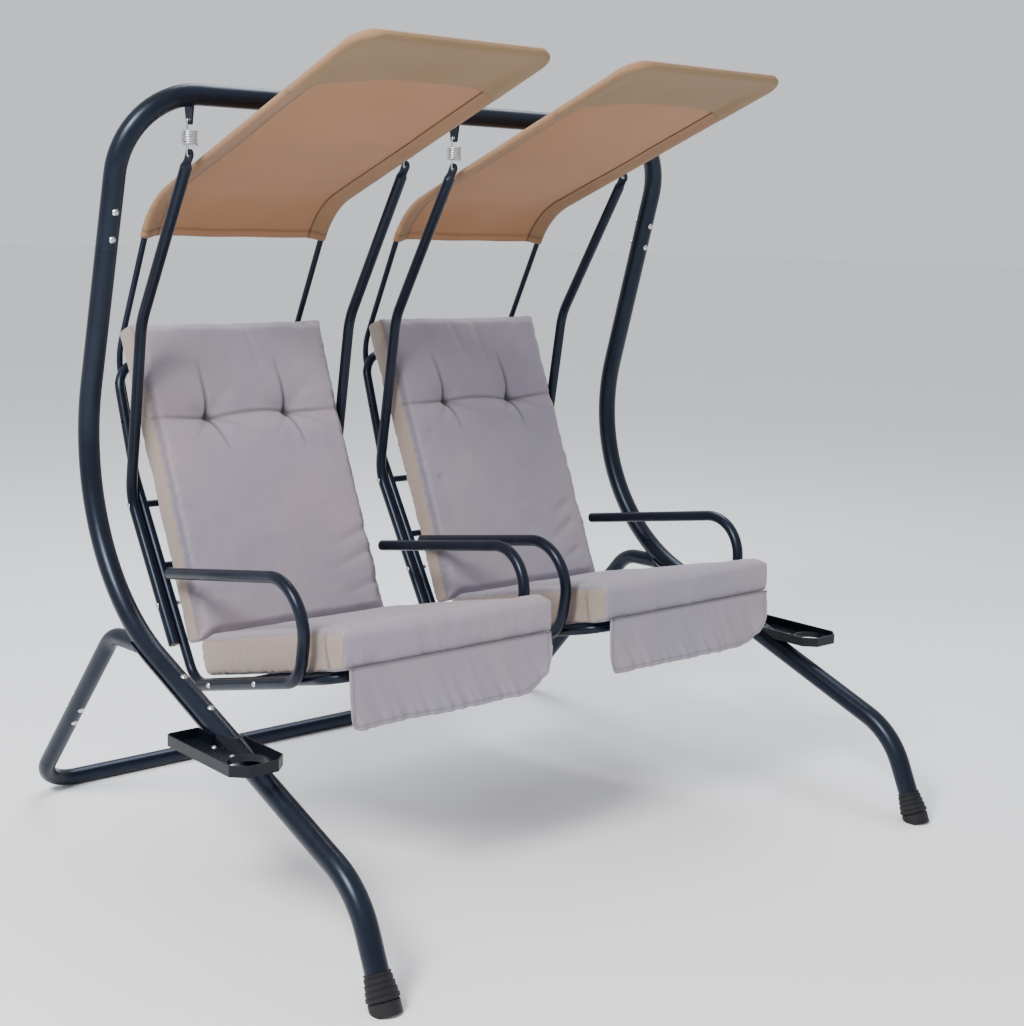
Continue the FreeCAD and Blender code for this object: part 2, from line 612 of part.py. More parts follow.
# ---------------------------------------------------------------- soft parts
def slab(x_low, x_high, outline, radius):
    """A side outline pushed across the chair, with its long edges rounded."""
    points = [V(x_low, y, z) for y, z in outline]
    body = Part.Face(Part.makePolygon(points + [points[0]])).extrude(V(x_high - x_low, 0, 0))
    return body.makeFillet(radius, body.Edges)


def back_cushion(x):
    u_y, u_z = CUSHION_LEAN
    bottom, top = (233.0, 441.0), (516.0, 1110.0)
    outline = [bottom, (bottom[0] + 48.0 * u_z, bottom[1] - 48.0 * u_y),
               (top[0] + 72.0 * u_z, top[1] - 72.0 * u_y), top]
    return slab(x - CUSHION_HALF, x + CUSHION_HALF, outline, 14.0)


def seat_cushion(x):
    """Box cushion whose front roll is wider than its body."""
    rear_low, rear_top = (205.0, 364.5), (222.0, 436.0)
    front_low, front_top = (-262.0, 480.0), (-262.0, 556.0)
    body = slab(x - CUSHION_HALF, x + CUSHION_HALF, [rear_low, front_low, front_top, rear_top], 12.0)
    roll = slab(x - ROLL_HALF, x + ROLL_HALF,
                [(-250.0, 488.0), (-337.0, 503.0), (-333.0, 578.0), (-250.0, 554.0)], 14.0)
    return body.fuse(roll).removeSplitter()


def front_flap(x):
    outline = [(-330.0, 500.0), (-338.0, 378.0), (-344.0, 378.0), (-336.5, 500.0)]
    return slab(x - FLAP_HALF, x + FLAP_HALF, outline, 2.0)


# ---------------------------------------------------------------- chair fasteners
def chair_bolts(x):
    """Bolts across hanger and frame, and across armrest and seat tube, with their nuts."""
    along = unit(at(0, BACK_KNEE) - at(0, BACK_SEAM))
    rail = unit(at(0, SEAT_FRONT) - at(0, SEAT_CORNER))
    places = [at(0, BACK_SEAM) + along * 60.0, at(0, BACK_SEAM) + along * 300.0,
              at(0, SEAT_CORNER) + rail * 120.0, at(0, SEAT_CORNER) + rail * 305.0]
    bolts, nuts, holes = [], [], []
    for place in places:
        for outward in (-1.0, 1.0):
            outer = V(x + outward * (HANGER_X + HANGER_R + 0.1), place.y, place.z)
            inner = V(x + outward * (FRAME_X - FRAME_R - 0.1), place.y, place.z)
            way = V(-outward, 0, 0)
            bolts.append(domed_bolt(outer, way, outer.distanceToPoint(inner), 3.0, 6.0))
            nuts.append(hex_nut(inner, way, 3.0, 5.8))
            holes.append((outer, way))
    return bolts, nuts, holes


def canopy_bolts(x):
    """Short bolts that hold the roof's legs to the back frame from behind."""
    along = unit(at(0, CANOPY_KNEE) - at(0, CANOPY_END))
    bolts = []
    holes = []
    for distance in (20.0, 110.0):
        place = at(0, CANOPY_END) + along * distance
        for outward in (-1.0, 1.0):
            outer = V(x + outward * CANOPY_X, place.y, place.z)
            target = outer + V(outward * (FRAME_X - CANOPY_X), -15.0 * along.z, 15.0 * along.y)
            way = unit(target - outer)
            head = outer - way * (CANOPY_R + 0.1)
            bolts.append(domed_bolt(head, way, 24.0, 2.5, 4.5))
            holes.append((head, way))
    return bolts, holes


def drilled(shape, holes, radius):
    for head, way in holes:
        shape = drill(shape, head, way, 75.0, radius)
    return shape


# ---------------------------------------------------------------- build
def build_stand():
    write("top_bar", top_bar())
    right_post, right_cap, right_leg = post(), foot_cap(), rear_leg()
    right_tray, right_bracket = tray(), tray_bracket()
    pieces = [("post", right_post), ("foot_cap", right_cap), ("rear_leg", right_leg),
              ("tray", right_tray), ("tray_bracket", right_bracket)]
    for name, shape in pieces:
        write("right_" + name, shape)
        write("left_" + name, mirrored(shape))
    write("rear_floor_bar", rear_floor_bar())
    bolts, nuts = stand_fasteners()
    for name in bolts:
        write(name + "_bolts", bolts[name])
        write(name + "_nuts", nuts[name])
    for name, side in SIDE.items():
        write(name + "_tray_screws", tray_screws(side))
        centre = side * CHAIR_X
        brackets = [spring_bracket(centre + offset) for offset in (-HANGER_X, HANGER_X)]
        write(name + "_spring_brackets", brackets)


def build_chair(name, centre):
    bolts, nuts, holes = chair_bolts(centre)
    roof_bolts, roof_holes = canopy_bolts(centre)
    prefix = name + "_chair_"
    write(prefix + "springs", [spring(centre - HANGER_X), spring(centre + HANGER_X)])
    write(prefix + "seat_frame", drilled(seat_frame(centre), holes, 3.3))
    write(prefix + "back_frame", drilled(drilled(back_frame(centre), holes, 3.3), roof_holes, 2.8))
    write(prefix + "canopy_frame", drilled(canopy_frame(centre), roof_holes, 2.8))
    write(prefix + "canopy_cover", canopy_cover(centre))
    write(prefix + "back_cushion", back_cushion(centre))
    write(prefix + "seat_cushion", seat_cushion(centre))
    write(prefix + "front_flap", front_flap(centre))
    plugs = []
    for side_name, outward in SIDE.items():
        write(prefix + side_name + "_hanger", drilled(hanger(centre + outward * HANGER_X), holes, 3.3))
        body, points = arm(centre, outward)
        write(prefix + side_name + "_arm", drilled(body, holes, 3.3))
        plugs.append(end_plug(points[0], points[1], HANGER_R, HANGER_WALL))
        plugs.append(end_plug(points[3], points[2], HANGER_R, HANGER_WALL))
        low, above = [at(centre + outward * HANGER_X, HANGER_LINE[i]) for i in (3, 2)]
        plugs.append(end_plug(low, above, HANGER_R, HANGER_WALL))
    write(prefix + "tube_plugs", plugs)
    write(prefix + "bolts", bolts)
    write(prefix + "nuts", nuts)
    write(prefix + "canopy_bolts", roof_bolts)


build_stand()
for chair, sign in SIDE.items():
    build_chair(chair, sign * CHAIR_X)
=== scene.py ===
import json
import math
import bpy
import numpy as np
from mathutils import Matrix, Vector, noise


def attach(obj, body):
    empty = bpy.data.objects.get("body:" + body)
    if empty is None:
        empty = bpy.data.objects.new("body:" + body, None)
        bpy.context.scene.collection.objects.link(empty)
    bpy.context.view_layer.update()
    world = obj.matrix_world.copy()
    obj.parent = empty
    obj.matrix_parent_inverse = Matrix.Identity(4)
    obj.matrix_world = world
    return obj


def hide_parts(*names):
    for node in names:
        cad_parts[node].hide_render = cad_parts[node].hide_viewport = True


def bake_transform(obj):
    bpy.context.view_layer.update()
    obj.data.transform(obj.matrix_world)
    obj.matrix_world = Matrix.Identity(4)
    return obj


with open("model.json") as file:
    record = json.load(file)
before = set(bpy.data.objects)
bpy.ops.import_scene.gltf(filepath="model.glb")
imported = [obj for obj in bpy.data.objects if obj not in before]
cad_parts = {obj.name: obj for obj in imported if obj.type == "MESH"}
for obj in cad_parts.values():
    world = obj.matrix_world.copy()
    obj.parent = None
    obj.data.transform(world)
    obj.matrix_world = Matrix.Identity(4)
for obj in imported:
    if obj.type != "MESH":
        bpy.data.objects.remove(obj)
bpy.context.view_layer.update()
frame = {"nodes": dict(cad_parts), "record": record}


# ---------------------------------------------------------------- driving dimensions, metres
CHAIRS = {"left": -0.344, "right": 0.344}
HANGER_X = 0.275
HALF_CUSHION = 0.257
HALF_ROLL = 0.268

BACK_LOW = (0.233, 0.441)          # front face of the back cushion, as (Y, Z)
BACK_HIGH = (0.516, 1.110)
BACK_THICK_LOW = 0.052
BACK_THICK_HIGH = 0.072
TUFT_X = 0.105
TUFT_Z = 0.903
CUSHION_VOXEL = 0.0072
CUSHION_PRESSURE = 4.0
CLOTH_FRAMES = 20
SIDEWAYS_SHARE = 0.15              # how much of a cushion's swelling across its thickness is kept

SEAT_REAR_LOW = (0.205, 0.366)
SEAT_REAR_TOP = (0.226, 0.446)
SEAT_FRONT_LOW = (-0.262, 0.482)
SEAT_FRONT_TOP = (-0.262, 0.562)
ROLL_LOW = (-0.336, 0.504)
ROLL_TOP = (-0.333, 0.580)

FLAP_TOP = (-0.334, 0.506)
FLAP_DROP = 0.122
FLAP_HALF = 0.257
FLAP_CORNERS = (0.022, 0.088)      # lower corners at -X and +X

ROOF_TUBE_X = 0.232
ROOF_TUBE_R = 0.007
ROOF_HALF = 0.243
ROOF_FRONT = (-0.322, 1.676)
ROOF_SHOULDER = (0.452, 1.371)
ROOF_KNEE = (0.623, 1.022)
ROOF_BEND = 0.200
ROOF_FRONT_REACH = 0.012           # cloth in front of the front tube's centre
ROOF_HEM_DROP = 0.082              # cloth below the shoulder corner
ROOF_CORNER = 0.058
ROOF_BAND = 0.046                  # width of the side pockets
ROOF_POCKET = 0.235                # depth of the front pocket
ROOF_HEM = 0.018                   # rear hem's stitching, from the edge
ROOF_REST = 0.0014                 # top cloth's middle, over the tubes
POCKET_REST = 0.0030               # front pocket's middle, under the front tube
ROOF_SAG = 0.014

SPRING_TOP_Z = 1.537
SPRING_LOW_Z = 1.466
SPRING_Y = 0.214
COIL_R = 0.015
WIRE_R = 0.002
COIL_TURNS = 6
COIL_PITCH = 0.0046
LOOP_R = 0.0055
HOLE_R = 0.0045


# ---------------------------------------------------------------- materials
def start_material(name):
    material = bpy.data.materials.new(name)
    material.use_nodes = True
    tree = material.node_tree
    shader = tree.nodes["Principled BSDF"]
    return material, tree, shader


def object_coordinates(tree):
    return tree.nodes.new("ShaderNodeTexCoord").outputs["Object"]


def noise_of(tree, vector, scale, detail=3.0, rough=0.5):
    node = tree.nodes.new("ShaderNodeTexNoise")
    node.inputs["Scale"].default_value = scale
    node.inputs["Detail"].default_value = detail
    node.inputs["Roughness"].default_value = rough
    tree.links.new(vector, node.inputs["Vector"])
    return node.outputs["Fac"]


def ramp_of(tree, factor, stops):
    node = tree.nodes.new("ShaderNodeValToRGB")
    ramp = node.color_ramp
    while len(ramp.elements) < len(stops):
        ramp.elements.new(0.5)
    for element, (place, colour) in zip(ramp.elements, stops):
        element.position = place
        element.color = (*colour, 1.0)
    tree.links.new(factor, node.inputs["Fac"])
    return node.outputs["Color"]


def scalar_ramp(tree, factor, low, high, start=0.3, end=0.7):
    node = tree.nodes.new("ShaderNodeMapRange")
    node.inputs["From Min"].default_value = start
    node.inputs["From Max"].default_value = end
    node.inputs["To Min"].default_value = low
    node.inputs["To Max"].default_value = high
    tree.links.new(factor, node.inputs["Value"])
    return node.outputs["Result"]


def math_of(tree, operation, first, second):
    node = tree.nodes.new("ShaderNodeMath")
    node.operation = operation
    for socket, value in zip(node.inputs, (first, second)):
        if isinstance(value, float):
            socket.default_value = value
        else:
            tree.links.new(value, socket)
    return node.outputs["Value"]


def bump_of(tree, height, strength, distance, below=None):
    node = tree.nodes.new("ShaderNodeBump")
    node.inputs["Strength"].default_value = strength
    node.inputs["Distance"].default_value = distance
    tree.links.new(height, node.inputs["Height"])
    if below is not None:
        tree.links.new(below, node.inputs["Normal"])
    return node.outputs["Normal"]


def weave_of(tree, vector, scale):
    """Height of a plain weave: two crossed sets of threads."""
    waves = []
    for direction in ("X", "Z"):
        node = tree.nodes.new("ShaderNodeTexWave")
        node.wave_type = "BANDS"
        node.bands_direction = direction
        node.inputs["Scale"].default_value = scale
        node.inputs["Distortion"].default_value = 0.6
        node.inputs["Detail"].default_value = 1.0
        node.inputs["Detail Scale"].default_value = 2.0
        tree.links.new(vector, node.inputs["Vector"])
        waves.append(node.outputs["Fac"])
    return math_of(tree, "MULTIPLY", waves[0], waves[1])


def with_painted_shade(tree, colour, name, least):
    """Painted shade: the colour, falling to a share of itself where the named attribute is 1."""
    attribute = tree.nodes.new("ShaderNodeAttribute")
    attribute.attribute_name = name
    mix = tree.nodes.new("ShaderNodeMix")
    mix.data_type = "RGBA"
    mix.blend_type = "MULTIPLY"
    mix.inputs["Factor"].default_value = 1.0
    tree.links.new(colour, mix.inputs["A"])
    tree.links.new(scalar_ramp(tree, attribute.outputs["Fac"], 1.0, least, 0.0, 1.0), mix.inputs["B"])
    return mix.outputs["Result"]


def powder_coat():
    """Blue-black baked powder: a fine orange-peel gloss with faint rubbed patches, and a painted sky-blue
    tint in its reflections.
    """
    material, tree, shader = start_material("powder_coat")
    place = object_coordinates(tree)
    cloud = noise_of(tree, place, 9.0, 4.0)
    colour = ramp_of(tree, cloud, [(0.35, (0.003, 0.004, 0.008)), (0.7, (0.006, 0.008, 0.016))])
    tree.links.new(colour, shader.inputs["Base Color"])
    rub = noise_of(tree, place, 40.0, 5.0, 0.65)
    tree.links.new(scalar_ramp(tree, rub, 0.27, 0.36), shader.inputs["Roughness"])
    peel = noise_of(tree, place, 900.0, 2.0)
    tree.links.new(bump_of(tree, peel, 0.05, 0.0003), shader.inputs["Normal"])
    shader.inputs["Specular IOR Level"].default_value = 0.34
    # painted reflection: a sky-blue tint on the coat's highlights
    shader.inputs["Specular Tint"].default_value = (0.66, 0.77, 1.0, 1.0)
    return material


def zinc():
    material, tree, shader = start_material("zinc")
    place = object_coordinates(tree)
    spangle = noise_of(tree, place, 350.0, 3.0)
    colour = ramp_of(tree, spangle, [(0.3, (0.46, 0.47, 0.48)), (0.7, (0.72, 0.73, 0.74))])
    tree.links.new(colour, shader.inputs["Base Color"])
    tree.links.new(scalar_ramp(tree, spangle, 0.22, 0.38), shader.inputs["Roughness"])
    tree.links.new(bump_of(tree, spangle, 0.15, 0.0003), shader.inputs["Normal"])
    shader.inputs["Metallic"].default_value = 1.0
    return material


def moulded(name, dark, light, rough_low, rough_high, grain_scale, grain):
    """Moulded rubber or plastic with a fine grain."""
    material, tree, shader = start_material(name)
    place = object_coordinates(tree)
    cloud = noise_of(tree, place, 14.0, 3.0)
    tree.links.new(ramp_of(tree, cloud, [(0.3, dark), (0.75, light)]), shader.inputs["Base Color"])
    tree.links.new(scalar_ramp(tree, noise_of(tree, place, 60.0, 4.0), rough_low, rough_high),
                   shader.inputs["Roughness"])
    grain_height = noise_of(tree, place, grain_scale, 2.0)
    tree.links.new(bump_of(tree, grain_height, grain, 0.0006), shader.inputs["Normal"])
    shader.inputs["Specular IOR Level"].default_value = 0.22
    return material


def cloth(name, face, shade, panel, panel_shade, threads=420.0, sheen=0.25):
    """Woven polyester. The attribute "panel" turns the face colour into the side panel's, and the attribute
    "fold" paints shade into creases, tufts and seams.
    """
    material, tree, shader = start_material(name)
    place = object_coordinates(tree)
    cloud = noise_of(tree, place, 3.2, 5.0, 0.6)
    front = ramp_of(tree, cloud, [(0.3, shade), (0.7, face)])
    side = ramp_of(tree, cloud, [(0.3, panel_shade), (0.7, panel)])
    attribute = tree.nodes.new("ShaderNodeAttribute")
    attribute.attribute_name = "panel"
    mix = tree.nodes.new("ShaderNodeMix")
    mix.data_type = "RGBA"
    tree.links.new(scalar_ramp(tree, attribute.outputs["Fac"], 0.0, 1.0, 0.42, 0.58), mix.inputs["Factor"])
    tree.links.new(front, mix.inputs["A"])
    tree.links.new(side, mix.inputs["B"])
    weave = weave_of(tree, place, threads)
    slub = noise_of(tree, place, 260.0, 3.0)
    thread = tree.nodes.new("ShaderNodeMix")
    thread.data_type = "RGBA"
    thread.blend_type = "MULTIPLY"
    thread.inputs["Factor"].default_value = 0.35
    tree.links.new(mix.outputs["Result"], thread.inputs["A"])
    tone = math_of(tree, "ADD", weave, slub)
    tree.links.new(scalar_ramp(tree, tone, 0.72, 1.08, 0.3, 1.3), thread.inputs["B"])
    # painted shade: the colour falls to 0.22 of itself where "fold" marks creases, tufts and seams
    tree.links.new(with_painted_shade(tree, thread.outputs["Result"], "fold", 0.22), shader.inputs["Base Color"])
    tree.links.new(scalar_ramp(tree, slub, 0.70, 0.88), shader.inputs["Roughness"])
    crumple = bump_of(tree, noise_of(tree, place, 38.0, 4.0), 0.22, 0.0022)
    tree.links.new(bump_of(tree, weave, 0.35, 0.0004, crumple), shader.inputs["Normal"])
    shader.inputs["Specular IOR Level"].default_value = 0.25
    shader.inputs["Sheen Weight"].default_value = sheen
    shader.inputs["Sheen Roughness"].default_value = 0.5
    return material, tree, shader


def cushion_cloth():
    return cloth("cushion_cloth", (0.330, 0.272, 0.300), (0.262, 0.240, 0.305),
                 (0.330, 0.260, 0.222), (0.282, 0.220, 0.187))[0]


def roof_cloth():
    """Thin woven cloth that lets the daylight through."""
    # The panel colour here is darker and less red than the face: painted shade for the front pocket's doubled
    # cloth, which lets less light through.
    material, tree, shader = cloth("roof_cloth", (0.432, 0.256, 0.143), (0.380, 0.224, 0.125),
                                   (0.375, 0.252, 0.135), (0.335, 0.224, 0.120), 380.0, 0.15)
    through = tree.nodes.new("ShaderNodeBsdfTranslucent")
    through.inputs["Color"].default_value = (0.66, 0.35, 0.16, 1.0)
    blend = tree.nodes.new("ShaderNodeMixShader")
    blend.inputs["Fac"].default_value = 0.3
    tree.links.new(shader.outputs["BSDF"], blend.inputs[1])
    tree.links.new(through.outputs["BSDF"], blend.inputs[2])
    tree.links.new(blend.outputs["Shader"], tree.nodes["Material Output"].inputs["Surface"])
    return material


MATERIALS = {
    "powder_coat": powder_coat(),
    "zinc": zinc(),
    "foot_rubber": moulded("foot_rubber", (0.010, 0.010, 0.011), (0.020, 0.020, 0.022),
                           0.50, 0.68, 500.0, 0.35),
    "tray_plastic": moulded("tray_plastic", (0.003, 0.004, 0.007), (0.006, 0.008, 0.013),
                            0.22, 0.30, 700.0, 0.04),
    "plug_plastic": moulded("plug_plastic", (0.012, 0.012, 0.013), (0.022, 0.022, 0.024),
                            0.40, 0.55, 600.0, 0.2),
    "cushion_fabric": cushion_cloth(),
    "canopy_fabric": roof_cloth(),
}


def paint(obj, name):
    obj.data.materials.clear()
    obj.data.materials.append(MATERIALS[name])
    return obj


# ---------------------------------------------------------------- mesh helpers
def mesh_object(name, points, faces):
    mesh = bpy.data.meshes.new(name)
    mesh.from_pydata([tuple(p) for p in points], [], faces)
    mesh.update()
    mesh.polygons.foreach_set("use_smooth", [True] * len(mesh.polygons))
    obj = bpy.data.objects.new(name, mesh)
    bpy.context.scene.collection.objects.link(obj)
    return obj


def grid_faces(rows, columns):
    faces = []
    for i in range(rows - 1):
        for j in range(columns - 1):
            a = i * columns + j
            faces.append((a, a + 1, a + columns + 1, a + columns))
    return faces


def applied(obj):
    """A copy of obj's mesh with its modifiers applied, put in their place."""
    bpy.context.view_layer.update()
    depsgraph = bpy.context.evaluated_depsgraph_get()
    mesh = bpy.data.meshes.new_from_object(obj.evaluated_get(depsgraph))
    obj.modifiers.clear()
    obj.data = mesh
    mesh.polygons.foreach_set("use_smooth", [True] * len(mesh.polygons))
    return obj


def coordinates(obj):
    points = np.zeros(len(obj.data.vertices) * 3)
    obj.data.vertices.foreach_get("co", points)
    return points.reshape(-1, 3)


def set_coordinates(obj, points):
    obj.data.vertices.foreach_set("co", points.ravel())
    obj.data.update()


def normals(obj):
    values = np.zeros(len(obj.data.vertices) * 3)
    obj.data.vertices.foreach_get("normal", values)
    return values.reshape(-1, 3)


def set_attribute(obj, name, values):
    attribute = obj.data.attributes.get(name) or obj.data.attributes.new(name, "FLOAT", "POINT")
    attribute.data.foreach_set("value", np.asarray(values, np.float32))


def thicken(obj, thickness):
    modifier = obj.modifiers.new("thickness", "SOLIDIFY")
    modifier.thickness = thickness
    modifier.offset = 0.0
    return obj


def smooth_step(value):
    value = np.clip(value, 0.0, 1.0)
    return value * value * (3.0 - 2.0 * value)


def bell(value, width):
    return np.exp(-(value / width) ** 2)


def fractal(points, scale, seed):
    """Smooth seeded noise in -1..1 at each point."""
    shift = Vector((seed * 3.1, seed * 1.7, seed * 5.3))
    return np.array([noise.fractal(Vector(p) * scale + shift, 1.0, 2.0, 3) for p in points])


# ---------------------------------------------------------------- cushions
def puffed(obj, cap, back_cap, thick):
    """Swells a closed mesh like a stuffed cover, mostly along its thickness, given as (Y, Z).

    The face moves out by cap at most, and the side that lies on the frame by back_cap.
    """
    remesh = obj.modifiers.new("remesh", "REMESH")
    remesh.mode = "VOXEL"
    remesh.voxel_size = CUSHION_VOXEL
    applied(obj)
    start = coordinates(obj)
    facing = normals(obj)
    modifier = obj.modifiers.new("cloth", "CLOTH")
    settings = modifier.settings
    settings.quality = 4
    settings.mass = 0.3
    settings.tension_stiffness = 15.0
    settings.compression_stiffness = 15.0
    settings.shear_stiffness = 5.0
    settings.bending_stiffness = 0.5
    settings.use_pressure = True
    settings.uniform_pressure_force = CUSHION_PRESSURE
    settings.effector_weights.gravity = 0.0
    scene = bpy.context.scene
    for step in range(1, CLOTH_FRAMES + 1):
        scene.frame_set(step)
    applied(obj)
    moved = coordinates(obj) - start
    scene.frame_set(1)
    through = np.array([0.0, thick.x, thick.y])
    deep = (moved @ through)[:, None] * through
    moved = deep + SIDEWAYS_SHARE * (moved - deep)
    length = np.linalg.norm(moved, axis=1, keepdims=True)
    limit = np.where(facing @ through < -0.3, back_cap, cap)[:, None]
    set_coordinates(obj, start + moved * np.minimum(1.0, limit / np.maximum(length, 1e-9)))
    set_attribute(obj, "panel", np.abs(facing[:, 0]))
    rounding = obj.modifiers.new("rounding", "SMOOTH")
    rounding.factor = 0.5
    rounding.iterations = 4
    subdivision = obj.modifiers.new("subdivision", "SUBSURF")
    subdivision.levels = 1
    subdivision.render_levels = 1
    return applied(obj)


def prism(name, outlines):
    """A closed mesh from side outlines that share one point order: [(x, [(y, z), ...]), ...]."""
    count = len(outlines[0][1])
    points = [(x, y, z) for x, outline in outlines for y, z in outline]
    faces = [tuple(range(count))[::-1]]
    for i in range(len(outlines) - 1):
        for j in range(count):
            a, b = i * count + j, i * count + (j + 1) % count
            faces.append((a, b, b + count, a + count))
    faces.append(tuple(range(len(points) - count, len(points))))
    return mesh_object(name, points, faces)


def toward(point, other, distance):
    length = math.dist(point, other)
    return tuple(p + (o - p) * distance / length for p, o in zip(point, other))


def shrunk(outline, inset):
    """The outline moved inwards by inset."""
    out = []
    count = len(outline)
    for i in range(count):
        before, here, after = outline[i - 1], outline[i], outline[(i + 1) % count]
        first = Vector((here[0] - before[0], here[1] - before[1])).normalized()
        second = Vector((after[0] - here[0], after[1] - here[1])).normalized()
        inward = Vector((-first.y, first.x)) + Vector((-second.y, second.x))
        inward *= inset / (1.0 + first.dot(second))
        out.append((here[0] + inward.x, here[1] + inward.y))
    return out


BACK_UP = Vector((BACK_HIGH[0] - BACK_LOW[0], BACK_HIGH[1] - BACK_LOW[1])).normalized()
BACK_OUT = Vector((-BACK_UP.y, BACK_UP.x))      # out of the cushion's front face, as (Y, Z)
SEAT_WAY = Vector((SEAT_FRONT_TOP[0] - SEAT_REAR_TOP[0], SEAT_FRONT_TOP[1] - SEAT_REAR_TOP[1])).normalized()
SEAT_UP = Vector((SEAT_WAY.y, -SEAT_WAY.x))


def back_outline():
    low_back = (BACK_LOW[0] - BACK_OUT.x * BACK_THICK_LOW, BACK_LOW[1] - BACK_OUT.y * BACK_THICK_LOW)
    high_back = (BACK_HIGH[0] - BACK_OUT.x * BACK_THICK_HIGH, BACK_HIGH[1] - BACK_OUT.y * BACK_THICK_HIGH)
    return [BACK_LOW, low_back, high_back, BACK_HIGH]


def sunk(point, out, up):
    """A point of the back cushion's outline, moved out of its face and up along it."""
    return (point[0] + BACK_OUT.x * out + BACK_UP.x * up, point[1] + BACK_OUT.y * out + BACK_UP.y * up)


def back_shape():
    """The back cushion around X 0, swollen."""
    low, low_back, high_back, high = back_outline()
    outline = [sunk(low, -0.003, -0.003), sunk(low_back, 0.003, -0.001),
               sunk(high_back, 0.003, 0.001), sunk(high, -0.010, 0.001)]
    half = HALF_CUSHION - 0.001
    return puffed(prism("back_shape", [(-half, outline), (half, outline)]), 0.016, 0.003, BACK_OUT)


def seat_shape():
    """The seat cushion around X 0, swollen, with its wider front roll."""
    rear_low = toward(SEAT_REAR_LOW, SEAT_FRONT_LOW, -0.003)
    rear_top = toward(SEAT_REAR_TOP, SEAT_FRONT_TOP, -0.009)
    body = shrunk([rear_low, SEAT_FRONT_LOW, SEAT_FRONT_TOP, rear_top][::-1], 0.003)
    roll_rear_low = toward(SEAT_FRONT_LOW, ROLL_LOW, -0.006)
    roll_rear_top = toward(SEAT_FRONT_TOP, ROLL_TOP, -0.006)
    roll = shrunk([roll_rear_low, ROLL_LOW, ROLL_TOP, roll_rear_top][::-1], 0.002)
    half = HALF_CUSHION - 0.002
    main = prism("seat_shape", [(-half, body), (half, body)])
    half = HALF_ROLL + 0.001
    front = prism("roll_shape", [(-half, roll), (half, roll)])
    points = np.vstack([coordinates(main), coordinates(front)])
    count = len(main.data.vertices)
    faces = [tuple(p.vertices) for p in main.data.polygons]
    faces += [tuple(v + count for v in p.vertices) for p in front.data.polygons]
    bpy.data.objects.remove(main)
    bpy.data.objects.remove(front)
    return puffed(mesh_object("seat_shape", points, faces), 0.010, 0.003, SEAT_UP)


# start and end as (X, distance up the cushion), depth, width
BACK_WRINKLES = [
    ((0.030, 0.710), (0.055, 0.560), 0.0042, 0.010),
    ((-0.060, 0.700), (-0.020, 0.600), 0.0034, 0.010),
    ((0.255, 0.200), (0.130, 0.165), 0.0050, 0.012),
    ((0.255, 0.150), (0.110, 0.105), 0.0044, 0.011),
    ((0.255, 0.075), (0.120, 0.045), 0.0040, 0.011),
    ((-0.255, 0.300), (-0.165, 0.265), 0.0040, 0.010),
    ((-0.255, 0.420), (-0.185, 0.385), 0.0036, 0.010),
    ((-0.255, 0.105), (-0.150, 0.085), 0.0036, 0.010),
    ((0.100, 0.430), (0.190, 0.350), 0.0028, 0.020),
]


def crease(across, along, start, end, width):
    """How strongly each point lies in a crease that runs from start to end and fades at its end."""
    start, end = np.array(start), np.array(end)
    way = end - start
    share = ((across - start[0]) * way[0] + (along - start[1]) * way[1]) / (way @ way)
    kept = np.clip(share, 0.0, 1.0)
    gap = np.hypot(across - start[0] - kept * way[0], along - start[1] - kept * way[1])
    return bell(gap, width) * (1.0 - kept) ** 0.8


def tufted(points, facing, seed):
    """Sinks the headrest seam, the tufts and their creases into a back cushion around X 0, and returns their
    lines as painted shade.
    """
    across = points[:, 0]
    along = (points[:, 1] - BACK_LOW[0]) * BACK_UP.x + (points[:, 2] - BACK_LOW[1]) * BACK_UP.y
    out = facing[:, 1] * BACK_OUT.x + facing[:, 2] * BACK_OUT.y
    front = smooth_step((out + 0.2) / 0.9)
    top = math.dist(BACK_LOW, BACK_HIGH)
    seam = (TUFT_Z - BACK_LOW[1]) / BACK_UP.y
    wander = 0.004 * np.sin(across * 19.0 + seed)
    inside = 0.35 + 0.65 * smooth_step((HALF_CUSHION + 0.01 - np.abs(across)) / 0.12)
    soft = 0.0080 * bell(along - seam - wander, 0.024) * inside
    line = 0.55 * bell(along - seam - wander, 0.0040) * inside
    for side in (-1.0, 1.0):
        tuft = side * TUFT_X
        reach = np.hypot(across - tuft, along - seam)
        soft += 0.012 * bell(reach, 0.045)
        line += bell(reach, 0.008)
        lean = 0.012 * math.sin(seed * 2.0 + side)
        line += 1.0 * crease(across, along, (tuft, seam), (tuft - 0.020 + lean, seam + 0.130), 0.0042)
        line += 0.9 * crease(across, along, (tuft, seam), (tuft + 0.024 + lean, seam - 0.095), 0.0042)
        line += 0.3 * crease(across, along, (tuft, seam), (tuft - 0.060, seam - 0.065), 0.006)
        line += 0.3 * crease(across, along, (tuft, seam), (tuft + 0.110, seam - 0.050), 0.007)
        soft += 0.0040 * crease(across, along, (tuft, seam), (tuft + 0.080, seam + 0.090), 0.016)
        soft += 0.0040 * crease(across, along, (tuft, seam), (tuft - 0.090, seam + 0.070), 0.016)
    for start, end, depth, width in BACK_WRINKLES:
        low = (start[0] * math.cos(seed * 0.3), start[1])
        soft += depth * crease(across, along, low, end, width)
    for k in range(9):
        place = 0.225 * math.sin(2.3 * k + seed)
        length = 0.030 + 0.020 * math.sin(1.7 * k + seed)
        soft += 0.0026 * crease(across, along, (place, top), (place + 0.010, top - length), 0.0055)
    # the tuft, headrest-seam and crease lines also go out as painted shade for the "fold" attribute
    line = np.minimum(line, 1.1) * front
    out_way = np.array([0.0, BACK_OUT.x, BACK_OUT.y])
    points = points - out_way * ((soft * front + 0.0075 * line))[:, None]
    return points, np.clip(line, 0.0, 1.0)


